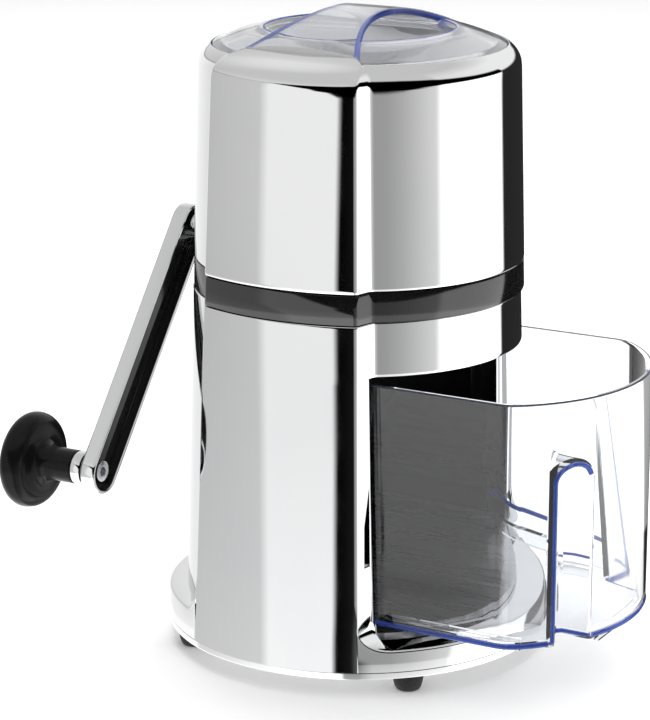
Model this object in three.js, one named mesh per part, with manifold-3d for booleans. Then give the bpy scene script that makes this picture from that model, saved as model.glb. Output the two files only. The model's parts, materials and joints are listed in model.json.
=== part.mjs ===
// Hand-cranked ice crusher with a chromed casing, a clear lid and a clear ice drawer.
// Millimetres, +Z up. The origin is the centre of the base plate's underside.
// The drawer pulls out towards -Y, the crank is at the back (+Y), the raised cheeks are at +X and -X.
import * as THREE from 'three';
import { mergeVertices } from 'three/addons/utils/BufferGeometryUtils.js';
import Module from 'manifold-3d';

const wasm = await Module();
wasm.setup();

// ---- driving dimensions ----
const GAP = 0.3; // clearance between pieces that touch
const WALL = 2.3; // casing wall

// casing: a slightly conical core with two proud cheeks
const CORE_RADIUS_BOTTOM = 69.9;
const CORE_DRAFT = 0.03;
const CHEEK_X_BOTTOM = 67.9;
const CHEEK_X_DRAFT = 0.0335;
const CHEEK_Y_BOTTOM = 37.0;
const CHEEK_Y_DRAFT = 0.0247;
const CHEEK_CURVE_BOTTOM = 76.9;
const CHEEK_CURVE_GROWTH = 0.06;
const CHEEK_CURVE_MAX = 85.4;
const FRONT_PANEL_SETBACK = 1.3; // the panel above the drawer stands back from the band

const CHEEK_STEP = 2.2; // how much further out the core starts than the cheek's edge
const SEAT_STEP = 4;

const PLATE_TOP = 2.7;
const PLATE_EMBOSS = 0.6; // the middle of the plate's underside stands this much lower
const PLATE_EMBOSS_RADIUS = 40;
const FLANGE_RADIUS = 76.9;
const FLANGE_TOP = 14.5;
const BAND_BOTTOM = 138.8;
const BAND_TOP = 150.5;
const SHOULDER_START = 226;
const CASING_TOP = 235;
const LID_RADIUS = 57.4;
const LID_NOTCH_X = 46.6; // the lid stops here against each cheek
const LID_NOTCH_Y = 24;
const LID_BOTTOM = 232.2;
const TONGUE_X = 50.6; // the cheek's tongue widens to here beside the lid
const TONGUE_Y = 28.4;
const SEAT_CORNER_X = TONGUE_X - GAP;
const SEAT_CORNER_Y = 28;

// drawer bay
const BAY_HALF_WIDTH = 55.7;
const BAY_BOTTOM = 11.5;
const BAY_TOP = 117.3;
const BAY_CORNER = 2;
const SILL_BACK = 37; // the sill reaches back to here, and a fillet leads up from it
const SILL_FILLET = 10;
const TRAY_TOP = 14.6;

// drawer
const DRAWER_HALF_WIDTH = 54.5;
const DRAWER_BOTTOM = 17.9;
const DRAWER_TOP = 114.3;
const DRAWER_BACK = 40;
const DRAWER_BACK_CORNER = 22;
const DRAWER_FRONT_CORNER = 15;
const DRAWER_FRONT_RADIUS = 66;
const DRAWER_FRONT_CENTRE = -55.2;
const DRAWER_WALL = 2.3;
const RUNNER_BOTTOM = 15;
const NOTCH_INNER_X = 27;
const NOTCH_OUTER_X = 41;
const NOTCH_TOP = 89;

// lid
const DISH_RADIUS = 37.8;
const DISH_RIM_Z = 240.8;
const DISH_FLOOR_Z = 230;
const DISH_FLOOR_RADIUS = 20;
const LID_WALL = 2.3;
const BRIDGE_TOP = 248.2;
const BRIDGE_DROP = 18.2; // how far the bridge falls from its middle to its reach
const BRIDGE_REACH = 58;
const BRIDGE_HALF_WIDTH = 11.6;
const BRIDGE_FLARE = 19.8;
const BRIDGE_THICKNESS = 3;

// crushing unit
const SHAFT_Z = 153;
const SHAFT_RADIUS = 4;
const BORE_RADIUS = SHAFT_RADIUS + GAP;
const CHAMBER_HALF_X = 35;
const CHAMBER_HALF_Y = 48;
const CHAMBER_BOTTOM = 119;
const CHAMBER_TOP = 185.7;
const CHAMBER_WALL = 2.5;
const DECK_RADIUS = 62.4;
const DECK_BOTTOM = BAND_BOTTOM;
const DECK_TOP = 142;
const BLADE_RADIUS = 25;
const BLADE_THICKNESS = 3;
const BLADE_PITCH = 17;
const BLADE_COUNT = 5;
const HOPPER_HALF_WIDTH = 49.7; // the hopper's rim is cut flat beside the tongues
const COMB_FACE_X = CHAMBER_HALF_X - CHAMBER_WALL - GAP;
const SCREW_CIRCLE = 57.5;

// crank
const CRANK_ANGLE = THREE.MathUtils.degToRad(38.6); // from hanging straight down, towards -X
const ARM_LENGTH = 110.5;
const ARM_HALF_WIDTH = 9;
const ARM_INNER_Y = 76.3;
const ARM_OUTER_Y = 83;
const ARM_FLOOR_Y = 80.6;
const ARM_RIM = 1.5;
const HUB_RADIUS = 6;
const KNOB_RADIUS = 19.4;
const KNOB_NECK_RADIUS = 7.2;
const KNOB_START_Y = 89.4;
const KNOB_SCREW_RADIUS = 2;

// feet
const FOOT_CIRCLE = 69;
const FOOT_HEIGHT = 7.5;
const FOOT_RADIUS = 6.3;

// ---- materials ----
const finish = (color, roughness, metalness, extra = {}) =>
  new THREE.MeshStandardMaterial({ color, roughness, metalness, ...extra });
const chrome = () => finish(0xd9dade, 0.06, 1);
const steel = () => finish(0xb9bcc0, 0.32, 1);
const blackGloss = () => finish(0x0c0c0d, 0.15, 0);
const blackMatt = () => finish(0x161617, 0.6, 0);
const rubber = () => finish(0x121212, 0.85, 0);
const clearPlastic = () => finish(0xe6eaf2, 0.05, 0, { transparent: true, opacity: 0.35 });
const hopperPlastic = () => finish(0xc9cbce, 0.35, 0);

// ---- shape helpers ----
const group = new THREE.Group();

function signedVolume(geometry) {
  const position = geometry.attributes.position;
  const index = geometry.index.array;
  const corner = [new THREE.Vector3(), new THREE.Vector3(), new THREE.Vector3()];
  let volume = 0;
  for (let i = 0; i < index.length; i += 3) {
    corner.forEach((point, k) => point.fromBufferAttribute(position, index[i + k]));
    volume += corner[0].dot(corner[1].cross(corner[2])) / 6;
  }
  return volume;
}

// One closed mesh with shared vertices, no collapsed triangles, and its faces pointing out.
function welded(source) {
  const bare = source.clone();
  bare.deleteAttribute('normal');
  bare.deleteAttribute('uv');
  const geometry = mergeVertices(bare, 1e-4);
  const kept = [];
  const index = geometry.index.array;
  for (let i = 0; i < index.length; i += 3) {
    const [a, b, c] = [index[i], index[i + 1], index[i + 2]];
    if (a !== b && b !== c && c !== a) kept.push(a, b, c);
  }
  geometry.setIndex(kept);
  if (signedVolume(geometry) < 0) {
    for (let i = 0; i < kept.length; i += 3) [kept[i], kept[i + 1]] = [kept[i + 1], kept[i]];
    geometry.setIndex(kept);
  }
  return geometry;
}

function toManifold(source) {
  const geometry = welded(source);
  return new wasm.Manifold(new wasm.Mesh({
    numProp: 3,
    vertProperties: new Float32Array(geometry.attributes.position.array),
    triVerts: new Uint32Array(geometry.index.array),
  }));
}

function fromManifold(manifold) {
  const mesh = manifold.getMesh();
  const geometry = new THREE.BufferGeometry();
  geometry.setAttribute('position', new THREE.BufferAttribute(new Float32Array(mesh.vertProperties), 3));
  geometry.setIndex([...mesh.triVerts]);
  return geometry;
}

const join = (...parts) => fromManifold(parts.map(toManifold).reduce((a, b) => a.add(b)));
const cut = (base, ...tools) =>
  fromManifold(tools.map(toManifold).reduce((a, b) => a.subtract(b), toManifold(base)));
const common = (a, b) => fromManifold(toManifold(a).intersect(toManifold(b)));

// Skin a row of equal loops into one solid. flatten maps a point to 2-D for the two end caps.
function loft(loops, flatten) {
  const count = loops[0].length;
  const index = [];
  for (let k = 0; k < loops.length - 1; k += 1) {
    for (let i = 0; i < count; i += 1) {
      const a = k * count + i;
      const b = k * count + ((i + 1) % count);
      index.push(a, b, b + count, a, b + count, a + count);
    }
  }
  const capFaces = (loop) => THREE.ShapeUtils.triangulateShape(loop.map(flatten), []);
  const winding = Math.sign(THREE.ShapeUtils.area(loops[0].map(flatten)));
  const last = (loops.length - 1) * count;
  capFaces(loops[0]).forEach(([a, b, c]) => index.push(...(winding > 0 ? [a, c, b] : [a, b, c])));
  capFaces(loops.at(-1)).forEach(([a, b, c]) => {
    index.push(...(winding > 0 ? [last + a, last + b, last + c] : [last + a, last + c, last + b]));
  });
  const geometry = new THREE.BufferGeometry();
  const positions = loops.flat().flatMap((p) => [p.x, p.y, p.z]);
  geometry.setAttribute('position', new THREE.Float32BufferAttribute(positions, 3));
  geometry.setIndex(index);
  return geometry;
}

const planView = (p) => new THREE.Vector2(p.x, p.y);
const sideView = (p) => new THREE.Vector2(p.y, p.z);

// A solid turned about the vertical axis from [radius, height] points.
function turned(profile, segments = 40) {
  const points = profile.map(([radius, height]) => new THREE.Vector2(radius, height));
  return new THREE.LatheGeometry(points, segments).rotateX(Math.PI / 2);
}

// The same about the Y axis, from [radius, y] points.
function turnedAlongY(profile, segments = 16) {
  const points = profile.map(([radius, y]) => new THREE.Vector2(radius, y));
  return new THREE.LatheGeometry(points, segments);
}

const ringProfile = (outer, inner, low, high) =>
  [[inner, low], [outer, low], [outer, high], [inner, high], [inner, low]];
const discProfile = (radius, low, high) => [[0, low], [radius, low], [radius, high], [0, high]];

// The same piece standing at several centres in plan.
const copies = (geometry, centres) => centres.map(([x, y]) => geometry.clone().translate(x, y, 0));

function box(x0, x1, y0, y1, z0, z1) {
  return new THREE.BoxGeometry(x1 - x0, y1 - y0, z1 - z0)
    .translate((x0 + x1) / 2, (y0 + y1) / 2, (z0 + z1) / 2);
}

// A flat shape drawn in X and Z, thickened from y0 to y1.
function plateAcrossY(shape, y0, y1, curveSegments = 12) {
  return new THREE.ExtrudeGeometry(shape, { depth: y1 - y0, bevelEnabled: false, curveSegments })
    .rotateX(Math.PI / 2)
    .translate(0, y1, 0);
}

// A flat shape drawn in X and Y, thickened from z0 to z1.
function plateUpright(shape, z0, z1, curveSegments = 12) {
  return new THREE.ExtrudeGeometry(shape, { depth: z1 - z0, bevelEnabled: false, curveSegments })
    .translate(0, 0, z0);
}

function addPart(name, geometry, material, parent = group) {
  const mesh = new THREE.Mesh(welded(geometry), material);
  mesh.name = name;
  parent.add(mesh);
  return mesh;
}

// ---- casing outline ----
function casingSection(z) {
  return {
    core: CORE_RADIUS_BOTTOM - CORE_DRAFT * z,
    frontCore: CORE_RADIUS_BOTTOM - CORE_DRAFT * z,
    cornerX: CHEEK_X_BOTTOM - CHEEK_X_DRAFT * z,
    cornerY: CHEEK_Y_BOTTOM - CHEEK_Y_DRAFT * z,
    step: CHEEK_STEP,
    curve: Math.min(CHEEK_CURVE_MAX, CHEEK_CURVE_BOTTOM + CHEEK_CURVE_GROWTH * z),
  };
}

const inset = (section, depth) => ({
  core: section.core - depth,
  frontCore: section.frontCore - depth,
  cornerX: section.cornerX - depth,
  cornerY: section.cornerY - depth,
  step: section.step,
  curve: section.curve - depth,
});

const withFrontPanel = (section) => ({ ...section, frontCore: section.frontCore - FRONT_PANEL_SETBACK });

// Plan outline at one height: core arcs front and back, and a proud flatter arc on each cheek.
function casingLoop(section, z, coreSteps = 13, cheekSteps = 7) {
  const { core, frontCore, cornerX, cornerY, step, curve } = section;
  const loop = [];
  const coreArc = (radius, side) => {
    const start = Math.asin((cornerY + step) / radius);
    for (let i = 0; i <= coreSteps; i += 1) {
      const angle = start + ((Math.PI - 2 * start) * i) / coreSteps;
      loop.push(new THREE.Vector3(side * radius * Math.cos(angle), side * radius * Math.sin(angle), z));
    }
  };
  const cheekArc = (side) => {
    const centre = cornerX - Math.sqrt(curve * curve - cornerY * cornerY);
    const sweep = Math.asin(cornerY / curve);
    for (let i = 0; i <= cheekSteps; i += 1) {
      const angle = -sweep + (2 * sweep * i) / cheekSteps;
      loop.push(new THREE.Vector3(
        side * (centre + curve * Math.cos(angle)),
        side * curve * Math.sin(angle),
        z,
      ));
    }
  };
  cheekArc(1);
  coreArc(core, 1);
  cheekArc(-1);
  coreArc(frontCore, -1);
  return loop;
}

const casingLoft = (levels) => loft(levels.map(([z, section]) => casingLoop(section, z)), planView);

// ---- base ----
function basePlate() {
  const holes = copies(turned(discProfile(1.9, -1, PLATE_TOP + 1), 10), footCentres());
  const plate = turned([
    [0, 0], [PLATE_EMBOSS_RADIUS, 0], [PLATE_EMBOSS_RADIUS + 0.6, PLATE_EMBOSS],
    [FLANGE_RADIUS, PLATE_EMBOSS], [FLANGE_RADIUS, PLATE_TOP], [0, PLATE_TOP],
  ]);
  return cut(plate, ...holes);
}

function footCentres() {
  const reach = FOOT_CIRCLE * Math.SQRT1_2;
  return [[-reach, -reach], [reach, -reach], [reach, reach], [-reach, reach]];
}

function foot() {
  const top = PLATE_EMBOSS - GAP;
  const bottom = -FOOT_HEIGHT;
  return turned([
    [1.8, top], [FOOT_RADIUS, top], [FOOT_RADIUS - 0.6, bottom + 2.4],
    [FOOT_RADIUS - 1.2, bottom], [3.6, bottom], [3.6, bottom + 2.6], [1.8, bottom + 2.6], [1.8, top],
  ], 16);
}

function footScrew() {
  const head = -FOOT_HEIGHT + 0.9;
  return turned([[0, head], [3.1, head], [3.1, head + 1.4], [1.5, head + 1.4], [1.5, 8], [0, 8]], 10);
}

// ---- lower housing ----
function lowerHousing() {
  const bottom = PLATE_TOP + GAP;
  const top = BAND_BOTTOM - GAP;
  const front = (z) => withFrontPanel(casingSection(z));
  const shell = casingLoft([[bottom, front(bottom)], [70, front(70)], [top, front(top)]]);
  const flange = turned([
    [0, bottom], [FLANGE_RADIUS, bottom], [FLANGE_RADIUS, FLANGE_TOP - 2],
    [FLANGE_RADIUS - 0.7, FLANGE_TOP - 0.6], [FLANGE_RADIUS - 2.2, FLANGE_TOP], [0, FLANGE_TOP],
  ]);
  const hollow = casingLoft([[-1, inset(front(-1), WALL)], [70, inset(front(70), WALL)],
    [top + 1, inset(front(top + 1), WALL)]]);
  const flangeHollow = turned(discProfile(FLANGE_RADIUS - WALL, -1, BAY_BOTTOM - WALL));
  const posts = SCREW_ANGLES.map((degrees) =>
    join(turned(discProfile(4.8, 122, top), 14).translate(SCREW_CIRCLE, 0, 0),
      box(SCREW_CIRCLE, 64.1, -1.5, 1.5, 122, BAND_BOTTOM - 2)).rotateZ(THREE.MathUtils.degToRad(degrees)));
  const sockets = copies(turned(discProfile(2.3, 126, DECK_TOP), 10), screwCentres());
  const bosses = copies(turned(discProfile(4.2, bottom, BAY_BOTTOM - 1), 14), footCentres());
  const bossHoles = copies(turned(discProfile(1.8, -1, 9.4), 10), footCentres());
  const body = cut(join(shell, flange), hollow, flangeHollow, bayOpening(), sillSpace());
  return cut(join(body, ...posts, ...bosses), ...sockets, ...bossHoles);
}

// The mouth of the drawer bay, with rounded bottom corners.
function bayOpening() {
  const shape = new THREE.Shape();
  const half = BAY_HALF_WIDTH;
  shape.moveTo(-half, BAY_TOP);
  shape.lineTo(-half, BAY_BOTTOM + BAY_CORNER);
  shape.absarc(-half + BAY_CORNER, BAY_BOTTOM + BAY_CORNER, BAY_CORNER, Math.PI, 1.5 * Math.PI, false);
  shape.absarc(half - BAY_CORNER, BAY_BOTTOM + BAY_CORNER, BAY_CORNER, 1.5 * Math.PI, 2 * Math.PI, false);
  shape.lineTo(half, BAY_TOP);
  return plateAcrossY(shape, -90, -20, 6);
}

// The space above the sill, in front of the cheeks: it gives the sill its fillet.
function sillSpace() {
  const shape = new THREE.Shape();
  shape.moveTo(-100, BAY_BOTTOM);
  shape.lineTo(-SILL_BACK - SILL_FILLET, BAY_BOTTOM);
  shape.absarc(-SILL_BACK - SILL_FILLET, BAY_BOTTOM + SILL_FILLET, SILL_FILLET, -Math.PI / 2, 0, false);
  shape.lineTo(-100, BAY_BOTTOM + SILL_FILLET);
  return new THREE.ExtrudeGeometry(shape, { depth: 180, bevelEnabled: false, curveSegments: 6 })
    .rotateX(Math.PI / 2)
    .rotateZ(Math.PI / 2)
    .translate(-90, 0, 0);
}

// ---- band and upper housing ----
function middleBand() {
  const low = BAND_BOTTOM;
  const high = BAND_TOP - GAP;
  const ring = casingLoft([[low, casingSection(low)], [high, casingSection(high)]]);
  const hollow = casingLoft([
    [low - 1, inset(casingSection(low), WALL)],
    [high + 1, inset(casingSection(high), WALL)],
  ]);
  return cut(ring, hollow, shaftHole());
}

const shaftHole = () => turnedAlongY(discProfile(9.3, 55, 75)).translate(0, 0, SHAFT_Z);

// Above SHOULDER_START the casing rounds over and closes in to the seat of the lid.
function shoulderSection(z, cornerX, cornerY, core) {
  const lean = (z - SHOULDER_START) / (CASING_TOP - SHOULDER_START);
  const curve = CHEEK_CURVE_MAX + 600 * lean ** 4;
  const step = CHEEK_STEP + lean * (SEAT_STEP - CHEEK_STEP);
  return { core, frontCore: core, cornerX, cornerY, step, curve };
}

function upperHousing() {
  const low = BAND_TOP;
  const levels = [
    [low, casingSection(low)],
    [SHOULDER_START, casingSection(SHOULDER_START)],
    [230.5, shoulderSection(230.5, 59.9, 31.4, 61.5)],
    [233.2, shoulderSection(233.2, 57.2, 30.2, 59.8)],
    [CASING_TOP, shoulderSection(CASING_TOP, 51.6, 28.2, 58.5)],
  ];
  const rim = LID_RADIUS + GAP;
  const seatCorner = { cornerX: SEAT_CORNER_X, cornerY: SEAT_CORNER_Y };
  const seat = { core: rim, frontCore: rim, ...seatCorner, step: 0, curve: 700 };
  const hollow = [
    [low - 1, inset(casingSection(low), WALL)],
    [SHOULDER_START, inset(casingSection(SHOULDER_START), WALL)],
    [229, inset(shoulderSection(230.5, 59.2, 31, 61.5), WALL)],
    [LID_BOTTOM + 0.2, seat],
    [CASING_TOP + 1, seat],
  ];
  return join(cut(casingLoft(levels), casingLoft(hollow), shaftHole()), cheekCrown(1), cheekCrown(-1));
}

// The tongue of each cheek that reaches in over the lid's seat, in plan.
function tongue(side, grow) {
  const tip = [LID_NOTCH_X - grow, LID_NOTCH_Y + grow];
  const shoulder = [TONGUE_X - grow, TONGUE_Y + grow];
  const plan = new THREE.Shape([
    tip, shoulder, [72, 30], [72, -30], [shoulder[0], -shoulder[1]], [tip[0], -tip[1]],
  ].map(([x, y]) => new THREE.Vector2(x, y)));
  return plateUpright(plan, 200, 260).rotateZ(side > 0 ? 0 : Math.PI);
}

function cheekCrown(side) {
  const profile = new THREE.Shape([
    [LID_NOTCH_X, LID_BOTTOM], [54, LID_BOTTOM], [54, 234], [51, CASING_TOP], [LID_NOTCH_X, 236.3],
  ].map(([x, z]) => new THREE.Vector2(x, z)));
  return common(tongue(side, -GAP), plateAcrossY(profile, -40, 40).rotateZ(side > 0 ? 0 : Math.PI));
}

// ---- drawer bay fittings ----
function drawerTray() {
  const depth = WALL + GAP;
  const low = BAY_BOTTOM + GAP;
  const section = inset(withFrontPanel(casingSection(TRAY_TOP)), depth);
  return casingLoft([[low, section], [TRAY_TOP, section]]);
}

const drawerGuide = (side) => box(0, 2.2, -28, 28, TRAY_TOP + GAP, TRAY_TOP + 9)
  .translate(side > 0 ? DRAWER_HALF_WIDTH + 0.5 : -DRAWER_HALF_WIDTH - 2.7, 0, 0);

// ---- hopper and crushing chamber ----
function hopper() {
  const funnel = turned([
    [32, CHAMBER_TOP + GAP], [34.6, CHAMBER_TOP + GAP], [53, 228], [57, 229.6], [57, 231.9],
    [51.5, 231.9], [32, CHAMBER_TOP + GAP],
  ], 40);
  return common(funnel, box(-HOPPER_HALF_WIDTH, HOPPER_HALF_WIDTH, -60, 60, 180, 240));
}

const SCREW_ANGLES = [45, 135, 225, 315];
const screwCentres = () => SCREW_ANGLES.map((degrees) => {
  const angle = THREE.MathUtils.degToRad(degrees);
  return [SCREW_CIRCLE * Math.cos(angle), SCREW_CIRCLE * Math.sin(angle)];
});

// The deck is clamped between the housings, and the chamber's four walls pass through it.
function crushingChamber() {
  const deck = turned(discProfile(DECK_RADIUS, DECK_BOTTOM, DECK_TOP), 40);
  const walls = box(
    -CHAMBER_HALF_X, CHAMBER_HALF_X, -CHAMBER_HALF_Y, CHAMBER_HALF_Y, CHAMBER_BOTTOM, CHAMBER_TOP);
  const halfX = CHAMBER_HALF_X - CHAMBER_WALL;
  const halfY = CHAMBER_HALF_Y - CHAMBER_WALL;
  const throat = box(-halfX, halfX, -halfY, halfY, CHAMBER_BOTTOM - 1, CHAMBER_TOP + 1);
  const bearingHoles = turnedAlongY(discProfile(8.3, -60, 60)).translate(0, 0, SHAFT_Z);
  const screwHoles = copies(turned(discProfile(2.3, DECK_BOTTOM - 1, DECK_TOP + 1), 10), screwCentres());
  return cut(join(deck, walls), throat, bearingHoles, ...screwHoles);
}

const chamberScrew = () => turned([
  [0, 128], [2, 128], [2, DECK_TOP + GAP],
  [3.6, DECK_TOP + GAP], [3.6, DECK_TOP + 2.4], [0, DECK_TOP + 2.4],
], 10);

function bearing(side) {
  const wallFace = CHAMBER_HALF_Y * side;
  const flange = turnedAlongY(ringProfile(10.5, BORE_RADIUS, GAP, 2));
  const barrel = turnedAlongY(ringProfile(8, BORE_RADIUS, -CHAMBER_WALL, GAP + 0.5));
  const bush = join(flange, barrel);
  return side > 0 ? bush.translate(0, wallFace, 0) : bush.rotateZ(Math.PI).translate(0, wallFace, 0);
}

// A fixed comb: a plate on the chamber wall with fingers that stand between the blades.
function fixedComb(side) {
  const plate = box(COMB_FACE_X - 2.6, COMB_FACE_X, -40, 40, SHAFT_Z - 11, SHAFT_Z + 11);
  const fingers = [];
  for (let i = 0; i < BLADE_COUNT - 1; i += 1) {
    const y = (i - (BLADE_COUNT - 2) / 2) * BLADE_PITCH;
    const outline = new THREE.Shape([
      new THREE.Vector2(COMB_FACE_X - 1, SHAFT_Z - 9),
      new THREE.Vector2(COMB_FACE_X - 1, SHAFT_Z + 9),
      new THREE.Vector2(10, SHAFT_Z + 3),
      new THREE.Vector2(10, SHAFT_Z - 3),
    ]);
    fingers.push(plateAcrossY(outline, y - 1.5, y + 1.5));
  }
  return join(plate, ...fingers).rotateZ(side > 0 ? 0 : Math.PI);
}

// ---- crank: everything that turns with the shaft, drawn with the arm hanging straight down ----
const crank = new THREE.Group();
crank.position.z = SHAFT_Z;
crank.rotation.y = CRANK_ANGLE;
group.add(crank);

function blade(turn) {
  const teeth = 4;
  const shape = new THREE.Shape();
  for (let i = 0; i < teeth; i += 1) {
    const base = turn + (i * 2 * Math.PI) / teeth;
    const points = [[9.5, 0], [BLADE_RADIUS, 0.42], [BLADE_RADIUS - 3, 0.58], [11, 1.0]];
    points.forEach(([radius, offset], k) => {
      const x = radius * Math.cos(base + offset);
      const z = radius * Math.sin(base + offset);
      if (i === 0 && k === 0) shape.moveTo(x, z);
      else shape.lineTo(x, z);
    });
  }
  shape.closePath();
  const bore = new THREE.Path();
  bore.absarc(0, 0, BORE_RADIUS, 0, 2 * Math.PI, true);
  shape.holes.push(bore);
  return plateAcrossY(shape, -BLADE_THICKNESS / 2, BLADE_THICKNESS / 2, 10);
}

const bladeY = (i) => (i - (BLADE_COUNT - 1) / 2) * BLADE_PITCH;

function spacer() {
  const half = (BLADE_PITCH - BLADE_THICKNESS) / 2 - GAP;
  return turnedAlongY(ringProfile(7.4, BORE_RADIUS, -half, half), 14);
}

function endNut() {
  const shape = new THREE.Shape();
  for (let i = 0; i < 6; i += 1) {
    const angle = (i * Math.PI) / 3;
    shape[i === 0 ? 'moveTo' : 'lineTo'](7 * Math.cos(angle), 7 * Math.sin(angle));
  }
  const bore = new THREE.Path();
  bore.absarc(0, 0, BORE_RADIUS, 0, 2 * Math.PI, true);
  shape.holes.push(bore);
  return plateAcrossY(shape, -CHAMBER_HALF_Y - 6.3, -CHAMBER_HALF_Y - 2.3, 10);
}

// A stadium hanging from the shaft, in X and Z.
function armOutline(halfWidth) {
  const shape = new THREE.Shape();
  shape.absarc(0, 0, halfWidth, 0, Math.PI, false);
  shape.absarc(0, -ARM_LENGTH, halfWidth, Math.PI, 2 * Math.PI, false);
  shape.closePath();
  return shape;
}

// The arm is a channel, open towards the casing, with a low rib along its floor.
function crankArm() {
  const blank = plateAcrossY(armOutline(ARM_HALF_WIDTH), ARM_INNER_Y, ARM_OUTER_Y);
  const channel = plateAcrossY(armOutline(ARM_HALF_WIDTH - ARM_RIM), ARM_INNER_Y - 1, ARM_FLOOR_Y);
  const rib = box(-1, 1, ARM_FLOOR_Y - 1.2, ARM_FLOOR_Y + 0.5, -ARM_LENGTH + 14, -14);
  const shaftBore = turnedAlongY(discProfile(BORE_RADIUS, 70, 90), 20);
  const screwBore = turnedAlongY(discProfile(KNOB_SCREW_RADIUS + GAP, 70, 90), 16)
    .translate(0, 0, -ARM_LENGTH);
  return cut(join(cut(blank, channel), rib), shaftBore, screwBore);
}

const crankHub = () => turnedAlongY(ringProfile(HUB_RADIUS, BORE_RADIUS, 52, ARM_FLOOR_Y - GAP));

const crankBolt = () => turnedAlongY([
  [0, ARM_OUTER_Y + GAP], [5.2, ARM_OUTER_Y + GAP], [5.2, ARM_OUTER_Y + 1.6],
  [3.6, ARM_OUTER_Y + 2.9], [0, ARM_OUTER_Y + 3.3],
], 20);

const crankShaft = () => turnedAlongY(discProfile(SHAFT_RADIUS, -CHAMBER_HALF_Y - 7.5, ARM_OUTER_Y));

// Screw with a hexagon socket: it holds the knob and is the pin that the knob turns on.
function knobScrew() {
  const headFace = ARM_FLOOR_Y - 2.9;
  const body = turnedAlongY([
    [0, headFace], [3.8, headFace], [4.3, headFace + 0.5], [4.3, ARM_FLOOR_Y - GAP],
    [KNOB_SCREW_RADIUS, ARM_FLOOR_Y - GAP], [KNOB_SCREW_RADIUS, KNOB_START_Y + 13], [0, KNOB_START_Y + 13],
  ], 20);
  const socket = turnedAlongY(discProfile(2.3, headFace - 1, headFace + 1.6), 6);
  return cut(body, socket);
}

const knobWasher = () => turnedAlongY(
  ringProfile(6.4, KNOB_SCREW_RADIUS + GAP, ARM_OUTER_Y + GAP, ARM_OUTER_Y + 1.7));
const knobFerrule = () => turnedAlongY(
  ringProfile(6.9, KNOB_SCREW_RADIUS + GAP, ARM_OUTER_Y + 2, KNOB_START_Y - GAP));

// Mushroom knob with a rounded rim and a hollowed inner face, turned about the screw.
function knob() {
  const bore = KNOB_SCREW_RADIUS + GAP;
  const rim = KNOB_RADIUS - 5.6;
  const profile = [
    [bore, KNOB_START_Y], [KNOB_NECK_RADIUS, KNOB_START_Y], [KNOB_NECK_RADIUS, KNOB_START_Y + 13],
    [KNOB_NECK_RADIUS + 2.6, KNOB_START_Y + 16.2], [rim - 0.4, KNOB_START_Y + 16.4],
  ];
  for (let i = 0; i <= 5; i += 1) {
    const angle = THREE.MathUtils.degToRad(-80 + (165 * i) / 5);
    profile.push([rim + 5.6 * Math.cos(angle), KNOB_START_Y + 21.6 + 5.6 * Math.sin(angle)]);
  }
  profile.push([0, KNOB_START_Y + 27.6], [0, KNOB_START_Y + 14]);
  profile.push([bore, KNOB_START_Y + 14], [bore, KNOB_START_Y]);
  return turnedAlongY(profile, 24);
}

// ---- drawer ----
function drawerLoop(depth, z) {
  const half = DRAWER_HALF_WIDTH - depth;
  const back = DRAWER_BACK - depth;
  const backCorner = DRAWER_BACK_CORNER - depth;
  const frontCorner = DRAWER_FRONT_CORNER - depth;
  const frontRadius = DRAWER_FRONT_RADIUS - depth;
  const reach = frontRadius - frontCorner;
  const cornerX = half - frontCorner;
  const cornerY = DRAWER_FRONT_CENTRE - Math.sqrt(reach * reach - cornerX * cornerX);
  const corner = Math.acos(cornerX / reach);
  const loop = [];
  const arc = (cx, cy, radius, from, to, steps) => {
    for (let i = 0; i <= steps; i += 1) {
      const angle = from + ((to - from) * i) / steps;
      loop.push(new THREE.Vector3(cx + radius * Math.cos(angle), cy + radius * Math.sin(angle), z));
    }
  };
  arc(half - backCorner, back - backCorner, backCorner, 0, Math.PI / 2, 6);
  arc(-half + backCorner, back - backCorner, backCorner, Math.PI / 2, Math.PI, 6);
  arc(-cornerX, cornerY, frontCorner, Math.PI, Math.PI + corner, 4);
  arc(0, DRAWER_FRONT_CENTRE, frontRadius, Math.PI + corner, 2 * Math.PI - corner, 18);
  arc(cornerX, cornerY, frontCorner, 2 * Math.PI - corner, 2 * Math.PI, 4);
  return loop.filter((point, i) => i === 0 || point.distanceTo(loop[i - 1]) > 1e-3);
}

const drawerPrism = (depth, low, high) => loft([drawerLoop(depth, low), drawerLoop(depth, high)], planView);

// The space of one finger notch in the drawer's front: open in front and below, arched on top.
function notchSpace(side, grow) {
  const near = NOTCH_INNER_X - grow;
  const far = NOTCH_OUTER_X + grow;
  const plan = new THREE.Shape([
    new THREE.Vector2(far, -130),
    new THREE.Vector2(far, -106.2 + grow),
    new THREE.Vector2(near + 2.5, -101.2 + grow),
    new THREE.Vector2(near, -103.5 + grow),
    new THREE.Vector2(near, -130),
  ]);
  const arch = new THREE.Shape();
  const radius = (far - near) / 2;
  arch.moveTo(near, 0);
  arch.lineTo(far, 0);
  arch.absarc((near + far) / 2, NOTCH_TOP + grow - radius, radius, 0, Math.PI, false);
  arch.closePath();
  const space = common(plateUpright(plan, 0, 110), plateAcrossY(arch, -135, -90, 10));
  return side > 0 ? space : space.scale(-1, 1, 1);
}

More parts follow.
